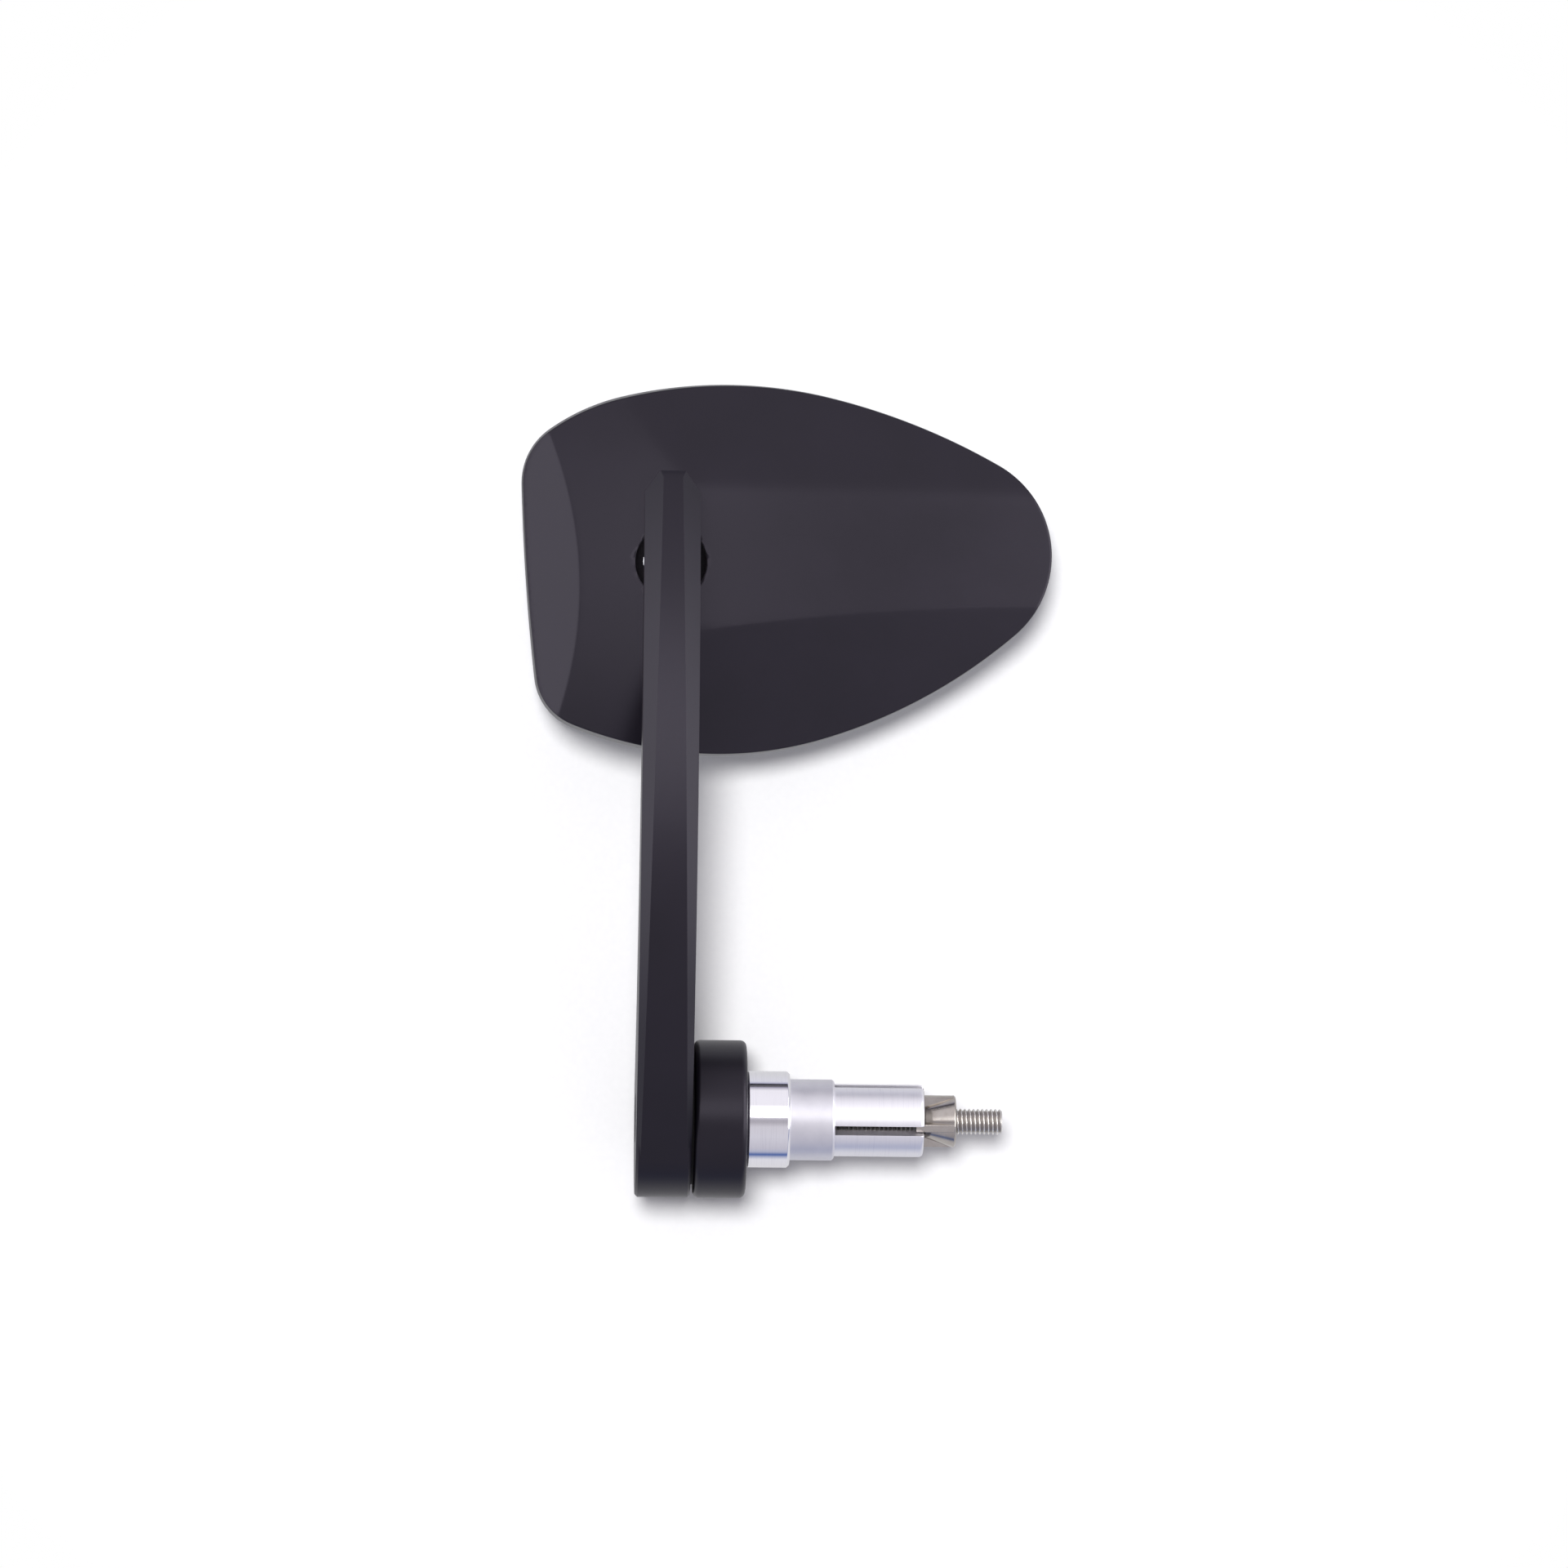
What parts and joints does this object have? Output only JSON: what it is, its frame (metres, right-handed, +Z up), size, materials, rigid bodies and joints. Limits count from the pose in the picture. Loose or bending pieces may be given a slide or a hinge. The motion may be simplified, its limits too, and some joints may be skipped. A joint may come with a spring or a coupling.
{
  "type": "motorcycle bar end mirror",
  "caption": "Faceted teardrop mirror head on a ball stud, carried by a bowed arm and an expanding plug that clamps inside a handlebar end.",
  "frame": {"origin": "on the bar axis, where the collar meets the handlebar's end", "axes": "+X along the bar axis into the handlebar, +Z up along the arm, -Y towards the back of the mirror head"},
  "size_m": [0.1218, 0.0564, 0.1859],
  "materials": {
    "polished_aluminium": "polished",
    "satin_aluminium": "satin turned",
    "nickel": "bright nickel plate",
    "steel": "zinc plated",
    "black_anodised": "satin black anodised",
    "washer_polymer": "matt black",
    "liner_nylon": "natural nylon",
    "foam": "matt foam tape",
    "mirror_glass": "silvered convex glass"
  },
  "bodies": {
    "bar_end": {"expansion_sleeve": "polished_aluminium", "centring_ring": "satin_aluminium", "end_disc": "black_anodised", "friction_washer": "washer_polymer"},
    "cone": {"expansion_cone": "nickel"},
    "bolt": {"clamp_bolt": "steel", "bolt_washer": "steel"},
    "arm": {"arm": "black_anodised", "ball_stud": "nickel"},
    "liner_rear": {"liner_rear": "liner_nylon"},
    "liner_front": {"liner_front": "liner_nylon"},
    "head": {"mirror_housing": "black_anodised", "foam_tape": "foam", "mirror_glass": "mirror_glass", "pressure_cup": "satin_aluminium", "cup_spring": "steel", "clamp_plate": "steel", "clamp_screw_1": "steel", "clamp_screw_2": "steel", "clamp_screw_3": "steel", "clamp_screw_4": "steel"}
  },
  "joints": [
    {"name": "bolt_turn", "type": "hinge", "parent": "bar_end", "child": "bolt", "pos_m": [0, 0, 0], "axis": [1, 0, 0], "range_deg": [-540, 432]},
    {"name": "cone_slide", "type": "slide", "parent": "bar_end", "child": "cone", "axis": [1, 0, 0], "range_m": [-0.0012, 0.0015]},
    {"name": "arm_swing", "type": "hinge", "parent": "bar_end", "child": "arm", "pos_m": [0, 0, 0], "axis": [1, 0, 0], "continuous": true},
    {"name": "head_pitch", "type": "hinge", "parent": "arm", "child": "liner_rear", "pos_m": [-0.0289, -0.005, 0.127], "axis": [1, 0, 0], "range_deg": [-10, 10]},
    {"name": "head_yaw", "type": "hinge", "parent": "liner_rear", "child": "liner_front", "pos_m": [-0.0289, -0.005, 0.127], "axis": [0, 0, 1], "range_deg": [-10, 10]},
    {"name": "head_roll", "type": "hinge", "parent": "liner_front", "child": "head", "pos_m": [-0.0289, -0.005, 0.127], "axis": [0, -1, 0], "continuous": true}
  ],
  "couplings": [
    {"joint": "cone_slide", "follows": "bolt_turn", "m_per_rad": -0.00015915}
  ]
}
